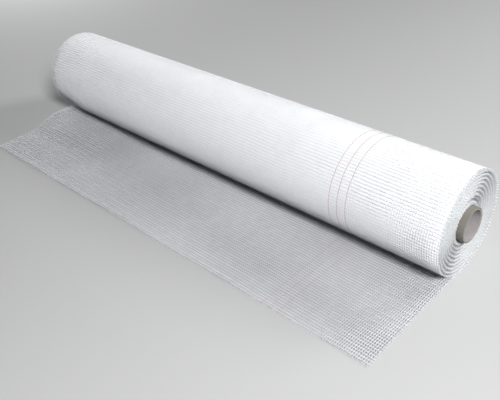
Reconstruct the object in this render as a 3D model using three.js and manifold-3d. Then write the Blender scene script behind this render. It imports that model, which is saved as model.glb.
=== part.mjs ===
// A roll of woven glass mesh on a cardboard core, lying on its side with a free length laid out in front of it.
// Millimetres, +Z up. X runs along the roll, and the free length lies towards -Y on the floor at Z = 0.
// The origin is on the floor, under the middle of the whole thing's outline.

import * as THREE from 'three';
import { mergeVertices } from 'three/addons/utils/BufferGeometryUtils.js';
import Module from 'manifold-3d';

// The web: the mesh as it comes off the loom, in one continuous length.
const WEB_WIDTH = 1000;
const WEB_THICKNESS = 0.5;
const FREE_LENGTH = 257; // from the line where the roll stands to the cut edge
const ROLL_RADIUS = 88;

// The wound ends. The turns lie in groups that stand a little in and out of each other.
const TURN_GROUP_PITCH = 6.4;
const TURN_GROUP_RELIEF = 2.4; // from the crest of a group to the groove beside it
const END_DISH = 4.7; // how far the innermost turns lie behind the outermost one
const INNER_GROOVE_DEPTH = 8.5; // the open groove round the innermost turns, from the outermost turn's edge

// The core tube.
const CORE_OUTER_RADIUS = 29;
const CORE_WALL = 4;
const CORE_STAND_OUT = 6; // past the outermost turn, at each end
const CORE_CLEARANCE = 0.3;

// The free length rises off the floor beside the roll at its far side, where the web still holds its curl.
const RISE_HEIGHT = 15.5;
const RISE_START = 14; // from the line where the roll stands
const RISE_CLIMB = 52;
const RISE_TOP = 30;
const RISE_FALL = 90;
const RISE_WIDTH = 350; // in from the far side

// How finely the round and the rising surfaces are divided. The even number puts a corner on the floor.
const ROUND_STEPS = 64;
const SHEET_STEPS_ALONG = 18;
const SHEET_STEPS_ACROSS = 24;

const wasm = await Module();
wasm.setup();

const halfWidth = WEB_WIDTH / 2;
const boreRadius = CORE_OUTER_RADIUS + CORE_CLEARANCE;
// The outline runs from the cut edge to the back of the roll, and its middle is at Y = 0.
const axisY = (FREE_LENGTH - ROLL_RADIUS) / 2;
const axisZ = ROLL_RADIUS;

const meshCloth = new THREE.MeshStandardMaterial({
  name: 'glass mesh', color: 0xe9ebec, roughness: 0.62, metalness: 0,
});
const cardboard = new THREE.MeshStandardMaterial({
  name: 'core cardboard', color: 0x8f8478, roughness: 0.88, metalness: 0,
});

function sharedCorners(geometry) {
  const bare = geometry.clone();
  bare.deleteAttribute('normal');
  bare.deleteAttribute('uv');
  return mergeVertices(bare);
}

function toSolid(geometry) {
  const closed = sharedCorners(geometry);
  return new wasm.Manifold(new wasm.Mesh({
    numProp: 3,
    vertProperties: new Float32Array(closed.attributes.position.array),
    triVerts: new Uint32Array(closed.index.array),
  }));
}

function toGeometry(solid) {
  const mesh = solid.getMesh();
  const geometry = new THREE.BufferGeometry();
  geometry.setAttribute('position', new THREE.BufferAttribute(new Float32Array(mesh.vertProperties), 3));
  geometry.setIndex(new THREE.BufferAttribute(new Uint32Array(mesh.triVerts), 1));
  return geometry;
}

// Turns a closed profile of (radius, distance along the axis) about the roll's own axis, which becomes X.
function turned(profile) {
  const closedProfile = [...profile, profile[0].clone()];
  const geometry = new THREE.LatheGeometry(closedProfile, ROUND_STEPS);
  geometry.rotateZ(-Math.PI / 2);
  geometry.translate(0, axisY, axisZ);
  return geometry;
}

// How far behind the outermost turn's edge the crest of the turns at this radius lies.
function crestDepth(radius) {
  return END_DISH * (ROLL_RADIUS - radius) / (ROLL_RADIUS - boreRadius);
}

// One wound end, from the bore outwards, as (radius, depth behind the outermost turn's edge).
function woundEnd() {
  const innerGroupEdge = boreRadius + TURN_GROUP_PITCH;
  const points = [];
  let crest = ROLL_RADIUS;
  while (crest > innerGroupEdge + TURN_GROUP_PITCH / 2) {
    const groove = crest - TURN_GROUP_PITCH / 2;
    points.unshift(new THREE.Vector2(crest, crestDepth(crest)));
    points.unshift(new THREE.Vector2(groove, crestDepth(groove) + TURN_GROUP_RELIEF));
    crest -= TURN_GROUP_PITCH;
  }
  points[0].set(innerGroupEdge + TURN_GROUP_PITCH / 2, INNER_GROOVE_DEPTH);
  points.unshift(new THREE.Vector2(innerGroupEdge, END_DISH));
  points.unshift(new THREE.Vector2(boreRadius, END_DISH));
  return points;
}

function woundRoll() {
  const end = woundEnd();
  const nearEnd = end.map((point) => new THREE.Vector2(point.x, halfWidth - point.y));
  const farEnd = end.map((point) => new THREE.Vector2(point.x, point.y - halfWidth));
  return turned([...farEnd, ...nearEnd.reverse()]);
}

// Height of the free length's underside, by its distance from the roll's line and from the far side.
function riseAt(fromRoll, fromFarSide) {
  const { smoothstep } = THREE.MathUtils;
  const topStart = RISE_START + RISE_CLIMB;
  const fallStart = topStart + RISE_TOP;
  const climb = smoothstep(fromRoll, RISE_START, topStart);
  const fall = smoothstep(fromRoll, fallStart, fallStart + RISE_FALL);
  const across = 1 - smoothstep(fromFarSide, 0, RISE_WIDTH);
  return RISE_HEIGHT * climb * (1 - fall) * across;
}

function freeLength() {
  const geometry = new THREE.BoxGeometry(
    WEB_WIDTH, FREE_LENGTH, WEB_THICKNESS, SHEET_STEPS_ACROSS, SHEET_STEPS_ALONG, 1,
  );
  geometry.translate(0, axisY - FREE_LENGTH / 2, WEB_THICKNESS / 2);
  const corners = geometry.attributes.position;
  for (let i = 0; i < corners.count; i += 1) {
    const fromRoll = axisY - corners.getY(i);
    const fromFarSide = corners.getX(i) + halfWidth;
    corners.setZ(i, corners.getZ(i) + riseAt(fromRoll, fromFarSide));
  }
  return geometry;
}

function meshWeb() {
  const web = toSolid(woundRoll()).add(toSolid(freeLength()));
  const mesh = new THREE.Mesh(toGeometry(web), meshCloth);
  mesh.name = 'mesh_web';
  return mesh;
}

function coreTube() {
  const innerRadius = CORE_OUTER_RADIUS - CORE_WALL;
  const halfLength = halfWidth + CORE_STAND_OUT;
  const profile = [
    new THREE.Vector2(innerRadius, -halfLength),
    new THREE.Vector2(CORE_OUTER_RADIUS, -halfLength),
    new THREE.Vector2(CORE_OUTER_RADIUS, halfLength),
    new THREE.Vector2(innerRadius, halfLength),
  ];
  const mesh = new THREE.Mesh(sharedCorners(turned(profile)), cardboard);
  mesh.name = 'core_tube';
  return mesh;
}

const roll = new THREE.Group();
roll.add(meshWeb());
roll.add(coreTube());

export default roll;
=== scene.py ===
# %% [markdown]
# # A roll of woven glass mesh
# The real thing is one long web of white coated glass yarn, wound on a cardboard tube. The last quarter of a
# metre lies unrolled in front of it. Seen close, the web is an open net: flat weft yarns run across it, and
# pairs of thin warp strands run along it and twist round each weft. This lesson builds that net from real
# yarns, so that light falls through its openings, and winds the same net round the roll.
# Everything hangs on the measured frame: its two solids give the places and sizes. The looks are made here.

# %% Load the measured frame
import math
import bpy
import numpy as np
from mathutils import Matrix, Vector


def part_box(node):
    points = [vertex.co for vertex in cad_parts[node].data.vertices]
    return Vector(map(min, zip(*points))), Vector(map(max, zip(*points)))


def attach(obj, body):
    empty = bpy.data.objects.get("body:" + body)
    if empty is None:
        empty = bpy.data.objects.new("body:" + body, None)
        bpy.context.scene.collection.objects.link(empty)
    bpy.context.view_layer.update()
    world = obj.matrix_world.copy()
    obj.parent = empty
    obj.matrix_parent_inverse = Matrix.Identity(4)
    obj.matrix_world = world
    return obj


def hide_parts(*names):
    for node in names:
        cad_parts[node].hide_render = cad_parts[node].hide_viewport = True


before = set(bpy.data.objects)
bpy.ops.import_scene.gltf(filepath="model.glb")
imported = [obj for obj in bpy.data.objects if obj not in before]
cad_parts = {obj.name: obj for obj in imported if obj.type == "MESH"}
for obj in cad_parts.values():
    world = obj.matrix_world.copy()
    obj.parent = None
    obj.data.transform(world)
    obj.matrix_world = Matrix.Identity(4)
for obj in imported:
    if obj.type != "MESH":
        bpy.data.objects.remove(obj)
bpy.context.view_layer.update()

MM = 0.001

# %% [markdown]
# ## Sizes read from the frame
# The web's box runs from the cut edge of the free length to the back of the roll, and the roll stands on the
# floor. So its height is the roll's diameter, and the axis lies one radius in from the back.

# %% Read the sizes
web_low, web_high = (Vector(corner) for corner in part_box("mesh_web"))
core_low, core_high = (Vector(corner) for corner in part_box("core_tube"))
WEB_WIDTH = web_high.x - web_low.x
ROLL_RADIUS = (web_high.z - web_low.z) / 2
AXIS_Y = web_high.y - ROLL_RADIUS
AXIS_Z = web_low.z + ROLL_RADIUS
FREE_LENGTH = AXIS_Y - web_low.y
CORE_RADIUS = (core_high.z - core_low.z) / 2
HALF_WIDTH = WEB_WIDTH / 2
print(f"roll {ROLL_RADIUS * 2:.3f} m across, {WEB_WIDTH:.3f} m wide, free length {FREE_LENGTH:.3f} m")

# %% [markdown]
# ## The camera
# The photograph looks down on the near end from its right, with the picture tilted a little. The place, lens
# and tilt were found by matching the roll's outline and the edges of the free length with a pinhole camera.

# %% Set the camera
EYE_FROM_LINE = Vector((844.87, -771.20, 726.05)) * MM  # from the line where the roll stands on the floor
VIEW_AZIMUTH = math.radians(46.64)
VIEW_ELEVATION = math.radians(35.31)
PICTURE_TILT = math.radians(-5.86)
LENS_MM = 48.19
SENSOR_MM = 36.0
CLIP_START = 0.02

camera_data = bpy.data.cameras.new("photo_camera")
camera_data.lens = LENS_MM
camera_data.sensor_width = SENSOR_MM
camera_data.clip_start = CLIP_START
camera = bpy.data.objects.new("photo_camera", camera_data)
bpy.context.scene.collection.objects.link(camera)
back = Vector((
    math.sin(VIEW_AZIMUTH) * math.cos(VIEW_ELEVATION),
    -math.cos(VIEW_AZIMUTH) * math.cos(VIEW_ELEVATION),
    math.sin(VIEW_ELEVATION),
))
level_right = Vector((0, 0, 1)).cross(back).normalized()
level_up = back.cross(level_right)
right = level_right * math.cos(PICTURE_TILT) + level_up * math.sin(PICTURE_TILT)
up = level_up * math.cos(PICTURE_TILT) - level_right * math.sin(PICTURE_TILT)
turn = Matrix((right, up, back)).transposed().to_4x4()
camera.matrix_world = Matrix.Translation(EYE_FROM_LINE + Vector((0, AXIS_Y, 0))) @ turn
bpy.context.scene.camera = camera
print("camera at", [round(value, 3) for value in camera.matrix_world.translation])

# %% [markdown]
# ## Light and floor
# In the photograph the roll's front keeps its brightness down to about the height of its axis, and falls off
# quickly below it. So the main soft light is high up, beyond the near end, a little to the front. It leaves the
# roll's lower front and the strip beside it in shade. A large weaker one stands behind the roll, which shades
# its own free length from it, so the openings there read darker than the pale floor. Both stand to the right,
# so the far end is greyer. A weak third one only keeps the hidden far end from going black.

# %% Make the floor and the lights
LIGHTS = (  # name, place, what it is aimed at, side in metres, watts
    ("back_light", (1.4, 2.1, 1.6), (0.1, 0.05, 0.05), 0.8, 46),
    ("high_light", (1.9, -0.85, 1.75), (0.1, 0.0, 0.08), 0.6, 92),
    ("far_light", (-1.9, 0.8, 0.6), (-0.4, 0.08, 0.09), 0.8, 12),
)
WORLD_GREY, WORLD_STRENGTH = (0.85, 0.92, 1.0), 0.05
FLOOR_GREY = (0.44, 0.44, 0.44)
FLOOR_ROUGHNESS = 0.85
FLOOR_HALF = 12.0


def soft_light(name, place, aim, side, watts):
    data = bpy.data.lights.new(name, "AREA")
    data.shape = "SQUARE"
    data.size = side
    data.energy = watts
    lamp = bpy.data.objects.new(name, data)
    bpy.context.scene.collection.objects.link(lamp)
    lamp.location = place
    lamp.rotation_euler = (Vector(place) - Vector(aim)).to_track_quat("Z", "Y").to_euler()


for light in LIGHTS:
    soft_light(*light)
world = bpy.data.worlds.new("studio")
world.use_nodes = True
world.node_tree.nodes["Background"].inputs["Color"].default_value = (*WORLD_GREY, 1)
world.node_tree.nodes["Background"].inputs["Strength"].default_value = WORLD_STRENGTH
bpy.context.scene.world = world
bpy.context.scene.view_settings.view_transform = "Standard"

floor_mesh = bpy.data.meshes.new("floor")
sides = ((-1, -1), (1, -1), (1, 1), (-1, 1))
floor_corners = [(x * FLOOR_HALF, y * FLOOR_HALF, 0) for x, y in sides]
floor_mesh.from_pydata(floor_corners, [], [(0, 1, 2, 3)])
floor = bpy.data.objects.new("floor", floor_mesh)
bpy.context.scene.collection.objects.link(floor)
floor_paint = bpy.data.materials.new("pale_floor")
floor_paint.use_nodes = True
floor_shader = floor_paint.node_tree.nodes["Principled BSDF"]
floor_shader.inputs["Base Color"].default_value = (*FLOOR_GREY, 1)
floor_shader.inputs["Roughness"].default_value = FLOOR_ROUGHNESS
floor_mesh.materials.append(floor_paint)
print("floor and", len(LIGHTS), "lights are up")

# %% [markdown]
# ## Small helpers for node trees
# Geometry Nodes and shader trees are both built from nodes and links. One helper adds a node and fills or
# links its inputs, and others add a sum or a vector. With them a tree reads like the recipe it is. Three more
# start a tree, end it, and run it once to get a plain mesh from it. The last one counts triangles.

# %% Define the node helpers


def add(tree, kind, inputs=None, **settings):
    """Adds a node. inputs gives a socket's name or number a value, or links it to another node's output."""
    made = tree.nodes.new(kind)
    for name, value in settings.items():
        setattr(made, name, value)
    for name, value in (inputs or {}).items():
        if isinstance(value, bpy.types.NodeSocket):
            tree.links.new(value, made.inputs[name])
        else:
            made.inputs[name].default_value = value
    return made


def calc(tree, operation, *values):
    """A Math node on two or three values or sockets, and its result's socket."""
    return add(tree, "ShaderNodeMath", dict(enumerate(values)), operation=operation).outputs[0]


def vector(tree, x, y, z):
    return add(tree, "ShaderNodeCombineXYZ", {0: x, 1: y, 2: z}).outputs[0]


def new_tree(name, sizes):
    """A Geometry Nodes tree with named inputs, its group input's sockets, and its output."""
    tree = bpy.data.node_groups.new(name, "GeometryNodeTree")
    tree.interface.new_socket(name="Geometry", in_out="OUTPUT", socket_type="NodeSocketGeometry")
    for label, kind in sizes:
        tree.interface.new_socket(name=label, in_out="INPUT", socket_type=f"NodeSocket{kind}")
    given = tree.nodes.new("NodeGroupInput").outputs
    return tree, given, tree.nodes.new("NodeGroupOutput")


def finish_tree(tree, out, geometry, material):
    """Ends a tree as every tree here ends: real geometry, with its material."""
    real = add(tree, "GeometryNodeRealizeInstances", {"Geometry": geometry})
    clad = add(tree, "GeometryNodeSetMaterial", {"Geometry": real.outputs[0], "Material": material})
    tree.links.new(clad.outputs[0], out.inputs[0])


def grow(name, tree, values):
    """Runs a tree once with these values, and returns its result as a plain mesh object at the origin."""
    seed_mesh = bpy.data.meshes.new(name + "_seed")
    seed = bpy.data.objects.new(name + "_seed", seed_mesh)
    bpy.context.scene.collection.objects.link(seed)
    modifier = seed.modifiers.new(tree.name, "NODES")
    modifier.node_group = tree
    sockets = {s.name: s.identifier for s in tree.interface.items_tree if s.in_out == "INPUT"}
    for label, value in values.items():
        modifier[sockets[label]] = value
    view = bpy.context.evaluated_depsgraph_get()
    mesh = bpy.data.meshes.new_from_object(seed.evaluated_get(view), depsgraph=view)
    mesh.name = name
    bpy.data.objects.remove(seed)
    made = bpy.data.objects.new(name, mesh)
    bpy.context.scene.collection.objects.link(made)
    return made


def triangles(obj):
    return sum(len(face.vertices) - 2 for face in obj.data.polygons)


print("helpers ready")

# %% [markdown]
# ## The yarn's finish
# Each yarn is a bundle of glass filaments in a white alkali-proof coating: bright, slightly glossy, with a fine
# grain and small differences in how thickly it is coated. Three of the warps are marking threads, dyed a dull
# red. Their points carry an attribute, so one recipe serves all the yarns. The finish comes in three tones: the
# roll's white, and two darker copies of it for the single layer of the free length and for the cut ends. Their
# extra darkness is painted shade.

# %% Make the yarn materials
YARN_ROUGHNESS = 0.48
COATING_SCALE, GRAIN_SCALE = 60.0, 2200.0
GRAIN_STRENGTH, GRAIN_HEIGHT = 0.25, 0.08 * MM
YARN_THIN_COAT, YARN_WHITE = (0.72, 0.735, 0.76, 1), (0.85, 0.855, 0.87, 1)
# The single layer's and the cut ends' tones are darker copies of the roll's white: painted shade.
SINGLE_SHADED_THIN_COAT, SINGLE_SHADED_WHITE = (0.56, 0.57, 0.605, 1), (0.74, 0.745, 0.775, 1)
CUT_SHADE, CUT_SHADED_WHITE = (0.42, 0.43, 0.44, 1), (0.60, 0.605, 0.62, 1)
MARKING_RED = (0.40, 0.10, 0.13, 1)


def new_material(name, roughness):
    material = bpy.data.materials.new(name)
    material.use_nodes = True
    shader = material.node_tree.nodes["Principled BSDF"]
    shader.inputs["Roughness"].default_value = roughness
    return material, material.node_tree, shader


def mixed(tree, factor, first, second):
    """Blends two colours, each a colour or a socket."""
    mix = add(tree, "ShaderNodeMix", {0: factor}, data_type="RGBA")
    for socket, value in ((mix.inputs[6], first), (mix.inputs[7], second)):
        if isinstance(value, bpy.types.NodeSocket):
            tree.links.new(value, socket)
        else:
            socket.default_value = value
    return mix.outputs[2]


def noise(tree, place, scale, detail=2.0):
    return add(tree, "ShaderNodeTexNoise", {"Vector": place, "Scale": scale, "Detail": detail}).outputs[0]


def bumped(tree, shader, height, strength, distance):
    bump = add(tree, "ShaderNodeBump", {"Strength": strength, "Distance": distance, "Height": height})
    tree.links.new(bump.outputs[0], shader.inputs["Normal"])


def yarn_material(name, thin_coat, full_coat):
    material, tree, shader = new_material(name, YARN_ROUGHNESS)
    place = add(tree, "ShaderNodeTexCoord").outputs["Object"]
    coating = noise(tree, place, COATING_SCALE)
    marking = add(tree, "ShaderNodeAttribute", attribute_name="marking").outputs["Fac"]
    white = mixed(tree, coating, thin_coat, full_coat)
    tree.links.new(mixed(tree, marking, white, MARKING_RED), shader.inputs["Base Color"])
    bumped(tree, shader, noise(tree, place, GRAIN_SCALE), GRAIN_STRENGTH, GRAIN_HEIGHT)
    return material


yarn = yarn_material("coated_glass_yarn", YARN_THIN_COAT, YARN_WHITE)
# the next two are darker copies of the same finish: painted shade
shaded_single_yarn = yarn_material("shaded_single_layer_yarn", SINGLE_SHADED_THIN_COAT, SINGLE_SHADED_WHITE)
shaded_cut_yarn = yarn_material("cut_yarn_ends", CUT_SHADE, CUT_SHADED_WHITE)
print("three yarn materials made")

# %% [markdown]
# ## The warps: twisted pairs
# A mesh like this is a leno weave. The warps come in pairs: one strand always passes over the wefts and the
# other always under them, and between two wefts they cross and change sides, which locks every crossing. A
# strand is thus a zigzag with one corner at each weft. The tree lays one line of corners, copies it for each
# warp, moves every other corner to the left and the rest to the right, and gives the line a small lens-shaped
# section. It is made flat, because a rule like this is simple on the flat, and bent to its place afterwards.

# %% Build the warp tree
YARN_SIDES = 4


def yarn_section(tree, width, thickness, sides):
    """The outline of a yarn: a ring of a few sides, squashed to its width and thickness."""
    ring = add(tree, "GeometryNodeCurvePrimitiveCircle", {"Resolution": sides, "Radius": 0.5})
    size = vector(tree, width, thickness, 1.0)
    return add(tree, "GeometryNodeTransform", {"Geometry": ring.outputs[0], "Scale": size}).outputs[0]


def swept(tree, curve, section):
    level = add(tree, "GeometryNodeSetCurveNormal", {"Curve": curve}, mode="Z_UP").outputs[0]
    inputs = {"Curve": level, "Profile Curve": section, "Fill Caps": True}
    return add(tree, "GeometryNodeCurveToMesh", inputs).outputs[0]


def row_of(tree, count, start, step):
    """Points in a row, as a line of mesh corners."""
    inputs = {"Count": count, "Start Location": start, "Offset": step}
    return add(tree, "GeometryNodeMeshLine", inputs, mode="OFFSET").outputs[0]


def marking_mask(tree, given):
    """1 for a marking thread's warp and 0 for the others, from its number across the web."""
    number = add(tree, "GeometryNodeInputIndex").outputs[0]
    past = calc(tree, "SUBTRACT", number, given["First Marking"])
    on_step = calc(tree, "COMPARE", calc(tree, "MODULO", past, given["Marking Step"]), 0.0, 0.1)
    last = calc(tree, "MULTIPLY", given["Marking Step"], calc(tree, "SUBTRACT", given["Markings"], 0.5))
    started = calc(tree, "GREATER_THAN", past, -0.5)
    inside = calc(tree, "MULTIPLY", started, calc(tree, "LESS_THAN", past, last))
    return calc(tree, "MULTIPLY", on_step, inside)


def with_marking(tree, geometry, value):
    inputs = {"Geometry": geometry, "Name": "marking", "Value": value}
    return add(tree, "GeometryNodeStoreNamedAttribute", inputs, data_type="FLOAT", domain="POINT").outputs[0]


def warp_tree(name, strands):
    """The warps of a web. strands gives each strand of a warp as 1 or -1: the side and face it starts on."""
    tree, given, out = new_tree(name, [
        ("Warps", "Int"), ("Warp Pitch", "Float"), ("Crossings", "Int"), ("Step", "Float"),
        ("Start", "Float"), ("Strand Width", "Float"), ("Strand Thickness", "Float"), ("Twist", "Float"),
        ("Lift", "Float"), ("Fray Low", "Vector"), ("Fray High", "Vector"), ("Seed", "Int"),
        ("First Marking", "Int"), ("Marking Step", "Int"), ("Markings", "Int"), ("Material", "Material"),
    ])
    half_row = calc(tree, "MULTIPLY", calc(tree, "SUBTRACT", given["Warps"], 1.0), -0.5)
    first_place = vector(tree, calc(tree, "MULTIPLY", half_row, given["Warp Pitch"]), 0.0, 0.0)
    across = row_of(tree, given["Warps"], first_place, vector(tree, given["Warp Pitch"], 0.0, 0.0))
    marked = with_marking(tree, across, marking_mask(tree, given))
    start = vector(tree, 0.0, given["Start"], 0.0)
    along = row_of(tree, given["Crossings"], start, vector(tree, 0.0, given["Step"], 0.0))
    line = add(tree, "GeometryNodeMeshToCurve", {"Mesh": along}).outputs[0]
    copies = add(tree, "GeometryNodeInstanceOnPoints", {"Points": marked, "Instance": line}).outputs[0]
    lines = add(tree, "GeometryNodeRealizeInstances", {"Geometry": copies}).outputs[0]
    corner = add(tree, "GeometryNodeSplineParameter").outputs["Index"]
    side = calc(tree, "SUBTRACT", 1.0, calc(tree, "MULTIPLY", calc(tree, "MODULO", corner, 2.0), 2.0))
    last_corner = add(tree, "GeometryNodeCurveEndpointSelection", {"Start Size": 0, "End Size": 1}).outputs[0]
    section = yarn_section(tree, given["Strand Width"], given["Strand Thickness"], YARN_SIDES)
    joined = tree.nodes.new("GeometryNodeJoinGeometry")
    dyed = add(tree, "GeometryNodeInputNamedAttribute", {"Name": "marking"}, data_type="FLOAT").outputs[0]
    face = calc(tree, "SUBTRACT", 1.0, calc(tree, "MULTIPLY", dyed, 2.0))
    lift = calc(tree, "MULTIPLY", given["Lift"], face)
    for strand, way in enumerate(strands):
        reach = calc(tree, "MULTIPLY", calc(tree, "MULTIPLY", side, given["Twist"]), way)
        height = calc(tree, "MULTIPLY", lift, way)
        zigzag = add(tree, "GeometryNodeSetPosition", {
            "Geometry": lines, "Offset": vector(tree, reach, 0.0, height),
        }).outputs[0]
        if strand > 0:
            zigzag = with_marking(tree, zigzag, 0.0)
        strand_seed = calc(tree, "ADD", given["Seed"], float(strand))
        fray = add(tree, "FunctionNodeRandomValue", data_type="FLOAT_VECTOR")
        tree.links.new(given["Fray Low"], fray.inputs[0])
        tree.links.new(given["Fray High"], fray.inputs[1])
        tree.links.new(strand_seed, fray.inputs["Seed"])
        frayed = add(tree, "GeometryNodeSetPosition", {
            "Geometry": zigzag, "Selection": last_corner, "Offset": fray.outputs[0],
        }).outputs[0]
        tree.links.new(swept(tree, frayed, section), joined.inputs[0])
    finish_tree(tree, out, joined.outputs[0], given["Material"])
    return tree


paired_warps_tree = warp_tree("paired_warps", (1.0, -1.0))
single_warps_tree = warp_tree("single_warps", (-1.0,))
print("warp trees have", len(paired_warps_tree.nodes), "and", len(single_warps_tree.nodes), "nodes")

# %% [markdown]
# ## The wefts: flat ribbons
# The wefts lie straight between the two strands of each pair, as flat ribbons of untwisted filaments. They
# wander a little, and their cut ends stand out past the last warp by different amounts, which gives the web its
# fine rough edge. The same kind of tree makes them: one line, copied, moved by noise that is fixed in place,
# tipped by seeded chance, and swept.

# %% Build the weft tree
WANDER_SCALE = 14.0


def weft_tree():
    tree, given, out = new_tree("wefts", [
        ("Wefts", "Int"), ("Step", "Float"), ("Start", "Float"), ("Width", "Float"), ("Segments", "Int"),
        ("Yarn Width", "Float"), ("Yarn Thickness", "Float"), ("Tip", "Float"), ("Wander", "Float"),
        ("Seed", "Int"), ("Material", "Material"),
    ])
    half = calc(tree, "MULTIPLY", given["Width"], -0.5)
    piece = calc(tree, "DIVIDE", given["Width"], given["Segments"])
    corners = calc(tree, "ADD", given["Segments"], 1.0)
    across = row_of(tree, corners, vector(tree, half, 0.0, 0.0), vector(tree, piece, 0.0, 0.0))
    line = add(tree, "GeometryNodeMeshToCurve", {"Mesh": across}).outputs[0]
    start = vector(tree, 0.0, given["Start"], 0.0)
    down = row_of(tree, given["Wefts"], start, vector(tree, 0.0, given["Step"], 0.0))
    copies = add(tree, "GeometryNodeInstanceOnPoints", {"Points": down, "Instance": line}).outputs[0]
    lines = add(tree, "GeometryNodeRealizeInstances", {"Geometry": copies}).outputs[0]
    place = add(tree, "GeometryNodeInputPosition").outputs[0]
    drift = calc(tree, "SUBTRACT", noise(tree, place, WANDER_SCALE), 0.5)
    aside = vector(tree, 0.0, calc(tree, "MULTIPLY", drift, given["Wander"]), 0.0)
    wandering = add(tree, "GeometryNodeSetPosition", {"Geometry": lines, "Offset": aside})
    ends = add(tree, "GeometryNodeCurveEndpointSelection", {"Start Size": 1, "End Size": 1}).outputs[0]
    chance = add(tree, "FunctionNodeRandomValue", data_type="FLOAT")
    tree.links.new(given["Tip"], chance.inputs[3])
    tree.links.new(given["Seed"], chance.inputs["Seed"])
    sideways = calc(tree, "SIGN", add(tree, "ShaderNodeSeparateXYZ", {0: place}).outputs[0])
    tip = vector(tree, calc(tree, "MULTIPLY", chance.outputs[1], sideways), 0.0, 0.0)
    tipped = add(tree, "GeometryNodeSetPosition", {
        "Geometry": wandering.outputs[0], "Selection": ends, "Offset": tip,
    }).outputs[0]
    section = yarn_section(tree, given["Yarn Width"], given["Yarn Thickness"], YARN_SIDES)
    finish_tree(tree, out, swept(tree, tipped, section), given["Material"])
    return tree


wefts_tree = weft_tree()
print("weft tree has", len(wefts_tree.nodes), "nodes")

# %% [markdown]
# ## Where the web goes
# Flat, a point of the web has a place across it, a distance along it from the line where the roll stands, and a
# height in its thickness. On the floor the distance runs away from the roll, and the web rises in a low hump
# beside the roll at the far side, where it still holds its curl. On the roll the distance becomes an angle: the
# web goes up the back, over the top and down the front, and each turn lies one thickness further in.

# %% Define where the web goes
WEB_THICKNESS = 0.5 * MM
RISE_HEIGHT, RISE_WIDTH = 15.5 * MM, 350 * MM
RISE_START, RISE_CLIMB, RISE_TOP, RISE_FALL = 14 * MM, 52 * MM, 30 * MM, 90 * MM
SQUEEZE_DEPTH, SQUEEZE_WIDTH = 5.0 * MM, 90 * MM  # where the roll's far lower edge is pressed in
SQUEEZE_ANGLE, SQUEEZE_HALF_SPREAD = math.radians(303), math.radians(44)
RIPPLE = 3.6 * MM  # how far the free length lifts off the floor in its slow waves
RIPPLE_RUN_IN = 50 * MM  # beside the roll the waves grow from nothing over this length
WAVES = ((21, 9, 1.3, 1.0), (-6, 47, 0.4, 1.0), (55, 23, 2.1, 0.6))  # across, along, start, share
WAVE_RANGE = 2 * sum(wave[3] for wave in WAVES)


def smooth(value, low, high):
    t = np.clip((value - low) / (high - low), 0.0, 1.0)
    return t * t * (3 - 2 * t)


def rise(across, from_roll):
    """Height of the hump beside the roll at the far side."""
    top = RISE_START + RISE_CLIMB
    fall = top + RISE_TOP
    along = smooth(from_roll, RISE_START, top) * (1 - smooth(from_roll, fall, fall + RISE_FALL))
    return RISE_HEIGHT * along * (1 - smooth(across + HALF_WIDTH, 0, RISE_WIDTH))


def ripple(across, from_roll):
    """The slow waves of a web that has been wound: never below the floor, and none under the roll."""
    waves = sum(share * np.sin(across * a + from_roll * b + start) for a, b, start, share in WAVES)
    return RIPPLE * (0.5 + waves / WAVE_RANGE) * smooth(from_roll, 0.0, RIPPLE_RUN_IN)


def squeeze(across, angle):
    """How far the far lower edge of the roll is pressed in towards the axis."""
    away = (angle - SQUEEZE_ANGLE) / SQUEEZE_HALF_SPREAD
    window = np.where(np.abs(away) < 1, np.cos(away * math.pi / 2) ** 2, 0.0)
    return SQUEEZE_DEPTH * window * (1 - smooth(across + HALF_WIDTH, 0, SQUEEZE_WIDTH))


def corners_of(obj):
    flat = np.empty(len(obj.data.vertices) * 3)
    obj.data.vertices.foreach_get("co", flat)
    return flat.reshape(-1, 3)


def put_corners(obj, corners):
    obj.data.vertices.foreach_set("co", corners.reshape(-1))
    obj.data.update()


def lay_on_floor(obj):
    across, along, height = corners_of(obj).T
    lift = WEB_THICKNESS / 2 + rise(across, -along) + ripple(across, -along)
    put_corners(obj, np.stack([across, AXIS_Y + along, lift + height], axis=1))


def wind_on_roll(obj):
    across, along, height = corners_of(obj).T
    angle = along / ROLL_RADIUS
    turns = angle / (2 * math.pi)
    radius = ROLL_RADIUS - WEB_THICKNESS * (0.5 + turns) - height
    radius = radius - squeeze(across, angle)
    y = AXIS_Y + radius * np.sin(angle)
    z = AXIS_Z - radius * np.cos(angle)
    put_corners(obj, np.stack([across, y, z], axis=1))


hump_top = rise(np.array([-HALF_WIDTH]), np.array([RISE_START + RISE_CLIMB]))[0]
print(f"the hump is {hump_top / MM:.1f} mm high at the far edge")

# %% [markdown]
# ## The free length
# The net repeats about every 4.1 mm across and 5.5 mm along, which the photograph gives once its perspective is
# taken out. Warps and wefts grow flat, are joined into one piece of cloth, and are laid on the floor. The wefts
# are counted so that the last one lies a few millimetres short of the cut, and the strands past it are frayed.

# %% Weave and lay the free length
WARPS = 244
WARP_PITCH = WEB_WIDTH / WARPS
WEFT_PITCH = 5.5 * MM
FRINGE = 3.2 * MM
STRAND_WIDTH, STRAND_THICKNESS = 0.85 * MM, 0.34 * MM
WEFT_WIDTH, WEFT_THICKNESS = 1.75 * MM, 0.34 * MM
TWIST = 0.42 * MM
STRAND_LIFT = 0.2 * MM
WEFT_TIP = 1.6 * MM
WEFT_WANDER = 0.8 * MM
MARKING_FROM_NEAR_SIDE, MARKING_STEP, MARKINGS = 48, 4, 3
NO_FRAY = (0.0, 0.0, 0.0)
FRAY_LOW, FRAY_HIGH = (-1.3 * MM, 0.3 * MM, -0.1 * MM), (1.3 * MM, 4.2 * MM, 1.4 * MM)
FREE_SEGMENTS, TURN_SEGMENTS = 32, 24  # how finely a weft is divided across the web
FREE_WARP_SEED, FREE_WEFT_SEED, TURN_WARP_SEED, TURN_WEFT_SEED = 11, 5, 23, 7

free_wefts = int((FREE_LENGTH - FRINGE) / WEFT_PITCH) + 1
first_weft = -(FREE_LENGTH - FRINGE - (free_wefts - 1) * WEFT_PITCH)


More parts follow.
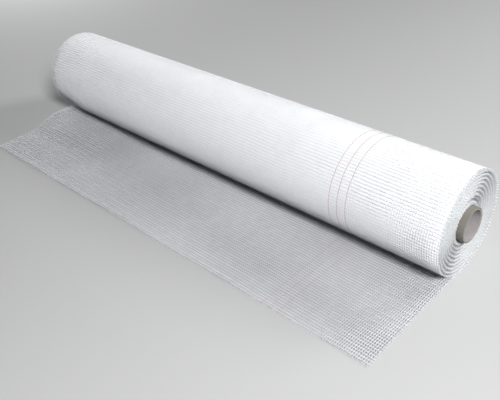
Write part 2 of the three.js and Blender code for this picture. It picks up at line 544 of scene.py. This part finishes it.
def warp_values(crossings, step, fray_low, fray_high, seed, finish):
    return {
        "Warps": WARPS, "Warp Pitch": WARP_PITCH, "Crossings": crossings, "Step": step,
        "Start": first_weft, "Strand Width": STRAND_WIDTH, "Strand Thickness": STRAND_THICKNESS,
        "Twist": TWIST, "Lift": STRAND_LIFT, "Fray Low": fray_low, "Fray High": fray_high, "Seed": seed,
        "First Marking": WARPS - 1 - MARKING_FROM_NEAR_SIDE, "Marking Step": MARKING_STEP,
        "Markings": MARKINGS, "Material": finish,
    }


def weft_values(count, step, start, segments, seed, finish):
    return {
        "Wefts": count, "Step": step, "Start": start, "Width": WEB_WIDTH, "Segments": segments,
        "Yarn Width": WEFT_WIDTH, "Yarn Thickness": WEFT_THICKNESS, "Wander": WEFT_WANDER,
        "Tip": WEFT_TIP, "Seed": seed, "Material": finish,
    }


def join(name, *pieces):
    """Joins finished pieces into the first one, under a new name."""
    with bpy.context.temp_override(active_object=pieces[0], selected_editable_objects=list(pieces)):
        bpy.ops.object.join()
    pieces[0].name = name
    pieces[0].data.name = name
    return pieces[0]


def rounded(obj):
    """Smooth shading, so that a yarn of four sides reads as a soft lens."""
    obj.data.shade_smooth()
    return obj


free_warp = grow("free_warp", paired_warps_tree, warp_values(
    free_wefts + 1, -WEFT_PITCH, FRAY_LOW, FRAY_HIGH, FREE_WARP_SEED, shaded_single_yarn))
free_weft = grow("free_weft", wefts_tree, weft_values(
    free_wefts, -WEFT_PITCH, first_weft, FREE_SEGMENTS, FREE_WEFT_SEED, shaded_single_yarn))
free_web = rounded(join("free_length", free_warp, free_weft))
lay_on_floor(free_web)
print("free length:", free_wefts, "wefts,", triangles(free_web), "triangles")

# %% [markdown]
# ## The outermost turn
# The same net goes once round the roll. Its strands are single here, because a strand pair on the roll is never
# seen against the light, and the corners are spent on the many crossings instead. It starts at the line where
# the roll stands, in step with the wefts of the free length, so the web runs on without a break.

# %% Weave and wind the outermost turn
turn_length = 2 * math.pi * ROLL_RADIUS
turn_wefts = int(turn_length / WEFT_PITCH)
turn_warp = grow("outer_turn_warps", single_warps_tree, warp_values(
    turn_wefts + 1, WEFT_PITCH, NO_FRAY, NO_FRAY, TURN_WARP_SEED, yarn))
turn_weft = grow("outer_turn_wefts", wefts_tree, weft_values(
    turn_wefts, WEFT_PITCH, first_weft + WEFT_PITCH, TURN_SEGMENTS, TURN_WEFT_SEED, yarn))
for piece in (turn_warp, turn_weft):
    wind_on_roll(rounded(piece))
    print(piece.name, triangles(piece), "triangles")

# %% [markdown]
# ## The wound turns
# Under the outermost turn lie about a hundred more. Seen from the side they are the same net again, a thread's
# thickness further in and out of step, so its openings show white and not dark. Seen from the ends they are the
# cut edges of the turns, which slid a little past each other in groups when the roll was wound. One closed body
# carries both. This cell gives its ends a rule of radius and angle: a spiral of groups that dish towards the
# core, deepest where the photograph shows dark arcs, with an open groove round the innermost turns.

# %% Define the wound ends
CORE_CLEARANCE = 0.3 * MM
BORE_RADIUS = CORE_RADIUS + CORE_CLEARANCE
GROUP_PITCH = 6.4 * MM
GROUP_RELIEF = 2.4 * MM
END_DISH = 4.7 * MM
GROOVE_PLACE, GROOVE_HALF_WIDTH, GROOVE_EXTRA = BORE_RADIUS + 9.2 * MM, 2.6 * MM, 3.6 * MM
TURN_STEP, TURN_RELIEF = 1.6 * MM, 0.22 * MM
OUTER_TURNS_INSET = 0.46 * MM  # from the outermost turn's outside to the body under it
RIM_RECESS, RIM_WIDTH = 1.6 * MM, 1.5 * MM  # the last turns' net stands out past the body by this, at the rim
CORE_GAP_DEPTH, CORE_GAP_WIDTH = 9.0 * MM, 3.0 * MM  # the slot between the core and the first turns
CORE_GAP_ANGLE = math.radians(325)
DEEP_GROOVE_ANGLE = math.radians(140)
GROOVE_MEAN, GROOVE_UNEVEN, GROOVE_TWO_SIDED = 0.85, 0.12, 0.4
GROOVE_SHARPNESS = 1.6
UNEVEN_ROUND, UNEVEN_OUTWARD = 3, 60
GROUPS_FROM, GROUPS_FULL = BORE_RADIUS + 0.6 * GROUP_PITCH, BORE_RADIUS + 1.2 * GROUP_PITCH
WOBBLES = ((3, 0, 0.7, 0.10), (8, 90, 0.0, 0.07), (23, 0, 0.0, 0.04))  # by angle, by radius, start, share


def end_grooves(radius, angle):
    """How deep the grooves between the turns are: most at the upper back and the lower front."""
    wobble = sum(share * np.sin(a * angle + r * radius + start) for a, r, start, share in WOBBLES)
    phase = (ROLL_RADIUS - radius) / GROUP_PITCH + angle / (2 * math.pi) + wobble
    strength = GROOVE_MEAN + GROOVE_UNEVEN * np.sin(UNEVEN_ROUND * angle + UNEVEN_OUTWARD * radius)
    strength = strength + GROOVE_TWO_SIDED * np.cos(2 * (angle - DEEP_GROOVE_ANGLE))
    groups = GROUP_RELIEF * strength * (0.5 - 0.5 * np.cos(2 * math.pi * phase)) ** GROOVE_SHARPNESS
    inner = smooth(radius, GROUPS_FROM, GROUPS_FULL)
    towards_top = (0.5 - 0.5 * np.cos(angle)) ** 2
    from_groove = (radius - GROOVE_PLACE) / GROOVE_HALF_WIDTH
    around_core = GROOVE_EXTRA * towards_top * np.exp(-from_groove ** 2)
    near_core = 1 - smooth(radius, BORE_RADIUS, BORE_RADIUS + CORE_GAP_WIDTH)
    gap = CORE_GAP_DEPTH * near_core * (0.5 + 0.5 * np.cos(angle - CORE_GAP_ANGLE)) ** 2
    return groups * inner + around_core + gap


def end_depth(radius, angle):
    """How far the wound end lies behind the outermost turn's edge, at this radius and angle."""
    dish = END_DISH * (ROLL_RADIUS - radius) / (ROLL_RADIUS - BORE_RADIUS)
    turns = TURN_RELIEF * np.sin(2 * math.pi * (radius / TURN_STEP - angle / (2 * math.pi)))
    outer = ROLL_RADIUS - OUTER_TURNS_INSET
    rim = RIM_RECESS * smooth(radius, outer - RIM_WIDTH, outer)
    return dish + end_grooves(radius, angle) + turns + rim


print("the grooves are about", round(GROUP_RELIEF / MM, 1), "mm deep")

# %% [markdown]
# ## The body of the wound turns
# The rule becomes a body by turning one cut through it about the axis, with a new cut at each step of the
# angle. Its side follows the spiral of the outermost turn, one thickness in a full turn, so that the net lies
# on it evenly all the way round. The small step where the spiral closes is at the bottom of the roll.

# %% Build the wound body
ROUND_STEPS = 240
END_STEPS = 112
SIDE_STEPS = 40


def wound_profile(angle):
    """One cut through the body at this angle: up the far end, along the outside and down the near end."""
    outer = ROLL_RADIUS - OUTER_TURNS_INSET - WEB_THICKNESS * angle / (2 * math.pi)
    radii = np.linspace(BORE_RADIUS, outer, END_STEPS + 1)
    depth = end_depth(radii, np.full_like(radii, angle))
    far = np.stack([-HALF_WIDTH + depth, radii], axis=1)
    side_x = np.linspace(far[-1, 0], HALF_WIDTH - depth[-1], SIDE_STEPS + 1)[1:-1]
    side = np.stack([side_x, np.full_like(side_x, outer)], axis=1)
    near = np.stack([HALF_WIDTH - depth, radii], axis=1)[::-1]
    return np.concatenate([far, side, near])


def ring_body(name, profile_at, steps):
    """A closed body turned about the roll's axis. profile_at gives (place along, radius) at an angle."""
    rings = []
    for step in range(steps):
        angle = 2 * math.pi * step / steps
        along, radius = profile_at(angle).T
        radius = radius - squeeze(along, np.full_like(along, angle)) * (radius > CORE_RADIUS * 2)
        rings.append(np.stack([
            along, AXIS_Y + radius * math.sin(angle), AXIS_Z - radius * math.cos(angle),
        ], axis=1))
    count = len(rings[0])
    faces = []
    for step in range(steps):
        here, there = step * count, (step + 1) % steps * count
        for k in range(count):
            after = (k + 1) % count
            faces.append((there + k, there + after, here + after, here + k))
    mesh = bpy.data.meshes.new(name)
    mesh.from_pydata(np.concatenate(rings).tolist(), [], faces)
    made = bpy.data.objects.new(name, mesh)
    bpy.context.scene.collection.objects.link(made)
    return made, count


def volume(obj):
    """The volume inside a closed mesh. It is positive where the faces look outwards."""
    corners = corners_of(obj)
    total = 0.0
    for face in obj.data.polygons:
        a, b, c = (corners[face.vertices[k]] for k in (0, 1, 2))
        total += float(np.dot(a, np.cross(b, c)))
        if len(face.vertices) == 4:
            d = corners[face.vertices[3]]
            total += float(np.dot(a, np.cross(c, d)))
    return total / 6


wound, profile_points = ring_body("wound_turns", wound_profile, ROUND_STEPS)
print("wound body", triangles(wound), "triangles, volume", round(volume(wound), 4))

# %% [markdown]
# ## The look of the turns beneath
# The side of the body shows the second net through the first one's openings, so it is drawn as a net too, from
# the place across the web and the length along it, which a UV map carries in metres. Yarns are higher, and the
# openings between them get painted shade. The ends show hundreds of fine turn edges, so their lines are drawn
# from the radius and the angle and broken up by the cut yarns. The ends' white is a darker copy of the yarns'
# white, which is painted shade, and painted shade darkens them further down in the grooves.

# %% Make the wound body's materials
BENEATH_ROUGHNESS, BENEATH_BUMP, BENEATH_HEIGHT = 0.6, 0.7, 0.4 * MM
SLIP_SCALE, SLIP = 7.0, 12 * MM  # how far the second net has slid, and over what distance that changes
WARP_SHARE, WEFT_SHARE, YARN_EDGE = 0.42, 0.40, 0.10  # a yarn's share of its pitch, and its soft edge
EDGE_ROUGHNESS, EDGE_BUMP, EDGE_HEIGHT = 0.75, 0.8, 0.5 * MM
BROKEN_SCALE, BROKEN_SHARE, CLOUD_SCALE, CLOUD_SHARE, LINE_SHARE = 420.0, 0.8, 36.0, 0.5, 0.55
# the openings of the net beneath are painted darker than its yarns: painted shade
GAP_PAINTED_SHADE = (0.76, 0.77, 0.785, 1)
# the ends' white is a darker copy of the yarns' white (painted shade), and the grooves get painted shade
EDGE_SHADED_WHITE = (0.52, 0.53, 0.54, 1)
EDGE_SHADE = (0.33, 0.35, 0.35, 1)
GROOVE_PAINTED_SHADE = (0.22, 0.23, 0.25, 1)
TURN_PITCH = 0.45 * MM


def ridge(tree, value, pitch, share):
    """1 on a yarn and 0 between yarns, softly, along one coordinate."""
    place = calc(tree, "FRACT", calc(tree, "DIVIDE", value, pitch))
    away = calc(tree, "ABSOLUTE", calc(tree, "SUBTRACT", place, 0.5))
    inputs = {"Value": away, "From Min": share / 2 + YARN_EDGE, "From Max": share / 2 - YARN_EDGE}
    return add(tree, "ShaderNodeMapRange", inputs, interpolation_type="SMOOTHSTEP").outputs[0]


def round_axis(tree, place):
    """A place's distance along the roll's axis, its radius, and its angle as a part of a full turn."""
    axis = (0, AXIS_Y, AXIS_Z)
    centred = add(tree, "ShaderNodeVectorMath", {0: place, 1: axis}, operation="SUBTRACT").outputs[0]
    split = add(tree, "ShaderNodeSeparateXYZ", {0: centred})
    spoke = vector(tree, 0.0, split.outputs[1], split.outputs[2])
    radius = add(tree, "ShaderNodeVectorMath", {0: spoke}, operation="LENGTH").outputs["Value"]
    angle = calc(tree, "ARCTAN2", split.outputs[2], split.outputs[1])
    return split.outputs[0], radius, calc(tree, "DIVIDE", angle, 2 * math.pi)


def turns_beneath_material():
    material, tree, shader = new_material("turns_beneath", BENEATH_ROUGHNESS)
    flat = add(tree, "ShaderNodeUVMap", uv_map="web_place").outputs[0]
    place = add(tree, "ShaderNodeTexCoord").outputs["Object"]
    split = add(tree, "ShaderNodeSeparateXYZ", {0: flat})
    slip = calc(tree, "MULTIPLY", noise(tree, place, SLIP_SCALE), SLIP)
    warps = ridge(tree, calc(tree, "ADD", split.outputs[0], slip), WARP_PITCH, WARP_SHARE)
    wefts = ridge(tree, calc(tree, "ADD", split.outputs[1], slip), WEFT_PITCH, WEFT_SHARE)
    net = calc(tree, "MAXIMUM", warps, wefts)
    # painted shade: the openings between the yarns take a darker grey than the yarns
    tree.links.new(mixed(tree, net, GAP_PAINTED_SHADE, YARN_WHITE), shader.inputs["Base Color"])
    bumped(tree, shader, net, BENEATH_BUMP, BENEATH_HEIGHT)
    return material


def turn_edges_material():
    material, tree, shader = new_material("turn_edges", EDGE_ROUGHNESS)
    place = add(tree, "ShaderNodeTexCoord").outputs["Object"]
    _, radius, turn_part = round_axis(tree, place)
    turn_number = calc(tree, "ADD", calc(tree, "DIVIDE", radius, TURN_PITCH * 2), turn_part)
    broken = calc(tree, "MULTIPLY", noise(tree, place, BROKEN_SCALE, 3.0), BROKEN_SHARE)
    lines = calc(tree, "ADD", calc(tree, "PINGPONG", turn_number, 0.5), broken)
    cloudy = calc(tree, "MULTIPLY", noise(tree, place, CLOUD_SCALE, 3.0), CLOUD_SHARE)
    tone = calc(tree, "ADD", calc(tree, "MULTIPLY", lines, LINE_SHARE), cloudy)
    edges = mixed(tree, tone, EDGE_SHADE, EDGE_SHADED_WHITE)
    # painted shade down in the grooves and the slot round the core, from the groove attribute
    groove = add(tree, "ShaderNodeAttribute", attribute_name="groove").outputs["Fac"]
    tree.links.new(mixed(tree, groove, edges, GROOVE_PAINTED_SHADE), shader.inputs["Base Color"])
    bumped(tree, shader, lines, EDGE_BUMP, EDGE_HEIGHT)
    return material


def clad_wound_body(obj, count):
    """Side faces get the net and their flat place as UVs, and end and bore faces get the turn edges."""
    obj.data.materials.append(turns_beneath_material())
    obj.data.materials.append(turn_edges_material())
    layer = obj.data.uv_layers.new(name="web_place")
    places = np.zeros((len(obj.data.loops), 2))
    corners = corners_of(obj)
    looks = np.ones(len(obj.data.polygons), int)
    for face in obj.data.polygons:
        step, k = divmod(face.index, count)
        if END_STEPS <= k < END_STEPS + SIDE_STEPS:
            looks[face.index] = 0
            for turn_number, loop in zip((1, 1, 0, 0), face.loop_indices):
                arc = (step + turn_number) * 2 * math.pi * ROLL_RADIUS / ROUND_STEPS
                places[loop] = corners[obj.data.loops[loop].vertex_index][0] + HALF_WIDTH, arc
    layer.data.foreach_set("uv", places.reshape(-1))
    obj.data.polygons.foreach_set("material_index", looks)
    y, z = corners[:, 1] - AXIS_Y, AXIS_Z - corners[:, 2]
    # painted shade: the deeper a groove or the slot round the core, the darker its faces are painted
    grooves = end_grooves(np.hypot(y, z), np.arctan2(y, z) % (2 * math.pi))
    shade = np.clip(grooves / GROUP_RELIEF, 0.0, 1.0) ** 2
    painted_groove_shade = obj.data.attributes.new("groove", "FLOAT", "POINT")
    painted_groove_shade.data.foreach_set("value", shade)
    obj.data.shade_smooth()


clad_wound_body(wound, profile_points)
print("wound body clad")

# %% [markdown]
# ## The cut weft ends on the wound ends
# Every turn's wefts end at the web's edge, so a wound end bristles with thousands of tiny stiff yarn ends in
# rows. A spiral curve gives the rows, points along it give the ends, and each point carries one flat stub,
# turned to the axis and given its own length and lean by seeded chance. The stubs grow on a flat disc and are
# then set on the wound end with the same rule of depth as the body, so each one stands on its turn.

# %% Build and set the weft ends
STUB_ROWS = 44
STUB_WIDTH, STUB_THICKNESS, STUB_LENGTH = 1.5 * MM, 0.35 * MM, 1.6 * MM
STUB_LENGTH_LOW, STUB_LENGTH_HIGH = 0.5, 1.5  # the shortest and longest, as shares of the length
STUB_LEAN = 0.35
STUBS_FROM_BORE, STUBS_FROM_RIM = 0.5 * MM, 1.2 * MM
NEAR_STUB_SEED, FAR_STUB_SEED = 31, 47
SPIRAL_STEPS = 96


def stub_tree():
    tree, given, out = new_tree("weft_ends", [
        ("Inner Radius", "Float"), ("Outer Radius", "Float"), ("Rows", "Float"), ("Pitch", "Float"),
        ("Stub Width", "Float"), ("Stub Thickness", "Float"), ("Stub Length", "Float"), ("Lean", "Float"),
        ("Seed", "Int"), ("Material", "Material"),
    ])
    spiral = add(tree, "GeometryNodeCurveSpiral", {
        "Resolution": SPIRAL_STEPS, "Rotations": given["Rows"], "Start Radius": given["Inner Radius"],
        "End Radius": given["Outer Radius"], "Height": 0.0,
    }).outputs[0]
    spacing = {"Curve": spiral, "Length": given["Pitch"]}
    spots = add(tree, "GeometryNodeCurveToPoints", spacing, mode="LENGTH")
    place = add(tree, "ShaderNodeSeparateXYZ", {0: add(tree, "GeometryNodeInputPosition").outputs[0]})
    facing = vector(tree, 0.0, 0.0, calc(tree, "ARCTAN2", place.outputs[1], place.outputs[0]))
    lean = add(tree, "FunctionNodeRandomValue", {"Seed": given["Seed"]}, data_type="FLOAT_VECTOR")
    other_way = calc(tree, "MULTIPLY", given["Lean"], -1.0)
    tree.links.new(vector(tree, other_way, other_way, 0.0), lean.inputs[0])
    tree.links.new(vector(tree, given["Lean"], given["Lean"], 0.0), lean.inputs[1])
    turned = add(tree, "ShaderNodeVectorMath", {0: lean.outputs[0], 1: facing}, operation="ADD")
    next_seed = calc(tree, "ADD", given["Seed"], 1.0)
    length = add(tree, "FunctionNodeRandomValue", {"Seed": next_seed}, data_type="FLOAT")
    length.inputs[2].default_value = STUB_LENGTH_LOW
    length.inputs[3].default_value = STUB_LENGTH_HIGH
    size = vector(tree, given["Stub Thickness"], given["Stub Width"], given["Stub Length"])
    stub = add(tree, "GeometryNodeMeshCube", {"Size": size}).outputs[0]
    stubs = add(tree, "GeometryNodeInstanceOnPoints", {
        "Points": spots.outputs[0], "Instance": stub, "Rotation": turned.outputs[0],
        "Scale": vector(tree, 1.0, 1.0, length.outputs[1]),
    }).outputs[0]
    finish_tree(tree, out, stubs, given["Material"])
    return tree


def set_on_end(obj, side):
    """Sets what was grown on a flat disc on a wound end: side is 1 for the near end, -1 for the far one."""
    u, v, height = corners_of(obj).T
    y, z = AXIS_Y + side * u, AXIS_Z + v
    angle = np.arctan2(y - AXIS_Y, AXIS_Z - z)
    x = side * (HALF_WIDTH - end_depth(np.hypot(u, v), angle % (2 * math.pi)) + height)
    put_corners(obj, np.stack([x, y, z], axis=1))


stubs_tree = stub_tree()
stub_ends = []
for side, seed in ((1, NEAR_STUB_SEED), (-1, FAR_STUB_SEED)):
    stubs = grow("weft_ends", stubs_tree, {
        "Inner Radius": BORE_RADIUS + STUBS_FROM_BORE, "Outer Radius": ROLL_RADIUS - STUBS_FROM_RIM,
        "Rows": float(STUB_ROWS), "Pitch": WEFT_PITCH, "Stub Width": STUB_WIDTH,
        "Stub Thickness": STUB_THICKNESS, "Stub Length": STUB_LENGTH, "Lean": STUB_LEAN, "Seed": seed,
        "Material": shaded_cut_yarn,
    })
    set_on_end(stubs, side)
    stub_ends.append(stubs)
weft_ends = join("weft_ends", *stub_ends)
print("weft ends", triangles(weft_ends), "triangles")

# %% [markdown]
# ## The core
# The tube is wound from strips of grey-brown board on a slant, so a seam runs round it as a helix inside and
# out, and its sawn end shows the plies. The body is turned from a profile with softened rims and one fine step
# between plies. The board's fibres, streaks and the slanting seam are in its material, drawn from the place
# along the axis and the angle round it. Inside the bore, painted shade darkens the board from the ends inwards.

# %% Build the core
CORE_WALL = 4 * MM
PLIES = 5
PLY_STEP = 0.28 * MM
RIM_SOFTNESS = 0.5 * MM
CORE_STEPS = 192
SEAM_LEAD = 150 * MM
BOARD_DARK, BOARD_LIGHT = (0.10, 0.094, 0.082, 1), (0.205, 0.19, 0.168, 1)
BORE_DARK, BORE_LIGHT = (0.13, 0.12, 0.12, 1), (0.34, 0.315, 0.32, 1)
BOARD_SEAM = (0.10, 0.09, 0.08, 1)
# the bore is painted darker from its ends inwards: painted shade
BORE_PAINTED_SHADE = (0.05, 0.045, 0.045, 1)
BORE_SHADE_FROM, BORE_SHADE_TO = 16 * MM, 40 * MM  # the board darkens inwards over this stretch
SAW_UNEVEN = 0.12 * MM
SOFT_FROM, SOFT_TO, SOFT_IN = RIM_SOFTNESS * 2.2, RIM_SOFTNESS * 0.7, RIM_SOFTNESS * 0.25
BOARD_ROUGHNESS, BOARD_BUMP, BOARD_HEIGHT = 0.9, 0.35, 0.2 * MM
SEAM_INNER, SEAM_OUTER, SEAM_DEPTH = 0.004, 0.012, 1.5  # half the seam's width, in turns, and its depth
STREAKS_ALONG, STREAKS_ROUND, STREAK_SCALE, STREAK_SHARE = 9.0, 1.2, 6.0, 0.6
FIBRE_SCALE, FIBRE_SHARE = 650.0, 0.5


def core_profile(angle):
    half, inner = core_high.x, CORE_RADIUS - CORE_WALL
    uneven = SAW_UNEVEN * (math.sin(5 * angle) + math.sin(13 * angle + 1.0))
    rim = [(half - SOFT_FROM, CORE_RADIUS), (half - SOFT_TO, CORE_RADIUS - SOFT_IN)]
    for ply in range(PLIES):
        middle = CORE_RADIUS - CORE_WALL * (ply + 0.5) / PLIES
        rim.append((half - abs(uneven) * 0.5, middle))
        if ply < PLIES - 1:
            rim.append((half - PLY_STEP, middle - CORE_WALL * 0.5 / PLIES))
    rim += [(half - SOFT_TO, inner + SOFT_IN), (half - SOFT_FROM, inner)]
    far = [(-x, radius) for x, radius in reversed(rim)]
    return np.array(far + rim)


def board_material():
    material, tree, shader = new_material("core_board", BOARD_ROUGHNESS)
    place = add(tree, "ShaderNodeTexCoord").outputs["Object"]
    along, radius, turn_part = round_axis(tree, place)
    helix = calc(tree, "ADD", calc(tree, "DIVIDE", along, SEAM_LEAD), turn_part)
    away = calc(tree, "ABSOLUTE", calc(tree, "SUBTRACT", calc(tree, "FRACT", helix), 0.5))
    seam = add(tree, "ShaderNodeMapRange", {
        "Value": away, "From Min": SEAM_INNER, "From Max": SEAM_OUTER, "To Min": 1.0, "To Max": 0.0,
    }).outputs[0]
    along_strip = calc(tree, "MULTIPLY", helix, STREAKS_ALONG)
    slanted = vector(tree, along_strip, calc(tree, "MULTIPLY", turn_part, STREAKS_ROUND), radius)
    streaks = calc(tree, "MULTIPLY", noise(tree, slanted, STREAK_SCALE, 4.0), STREAK_SHARE)
    fibres = noise(tree, place, FIBRE_SCALE, 4.0)
    tone = calc(tree, "ADD", calc(tree, "MULTIPLY", fibres, FIBRE_SHARE), streaks)
    outside = mixed(tree, tone, BOARD_DARK, BOARD_LIGHT)
    lit_bore = mixed(tree, tone, BORE_DARK, BORE_LIGHT)
    from_end = calc(tree, "SUBTRACT", core_high.x, calc(tree, "ABSOLUTE", along))
    # painted shade inside the bore, growing from the ends inwards
    bore_shade_range = {"Value": from_end, "From Min": BORE_SHADE_FROM, "From Max": BORE_SHADE_TO}
    deep = add(tree, "ShaderNodeMapRange", bore_shade_range)
    inside = mixed(tree, deep.outputs[0], lit_bore, BORE_PAINTED_SHADE)
    middle = CORE_RADIUS - CORE_WALL / 2
    board = mixed(tree, calc(tree, "GREATER_THAN", radius, middle), inside, outside)
    tree.links.new(mixed(tree, seam, board, BOARD_SEAM), shader.inputs["Base Color"])
    height = calc(tree, "SUBTRACT", fibres, calc(tree, "MULTIPLY", seam, SEAM_DEPTH))
    bumped(tree, shader, height, BOARD_BUMP, BOARD_HEIGHT)
    return material


core, _ = ring_body("core_board", core_profile, CORE_STEPS)
core.data.materials.append(board_material())
core.data.shade_smooth()
print("core", triangles(core), "triangles, volume", round(volume(core), 6))

# %% [markdown]
# ## Tying the pieces to the frame
# Nothing on a roll moves by itself, so all the pieces ride the one body. The five pieces of net together stand
# for the web's solid, and the tube stands for its own.

# %% Ride and replace
for piece in (free_web, turn_warp, turn_weft, wound, weft_ends):
    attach(piece, "root")
    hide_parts("mesh_web")
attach(core, "root")
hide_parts("core_tube")
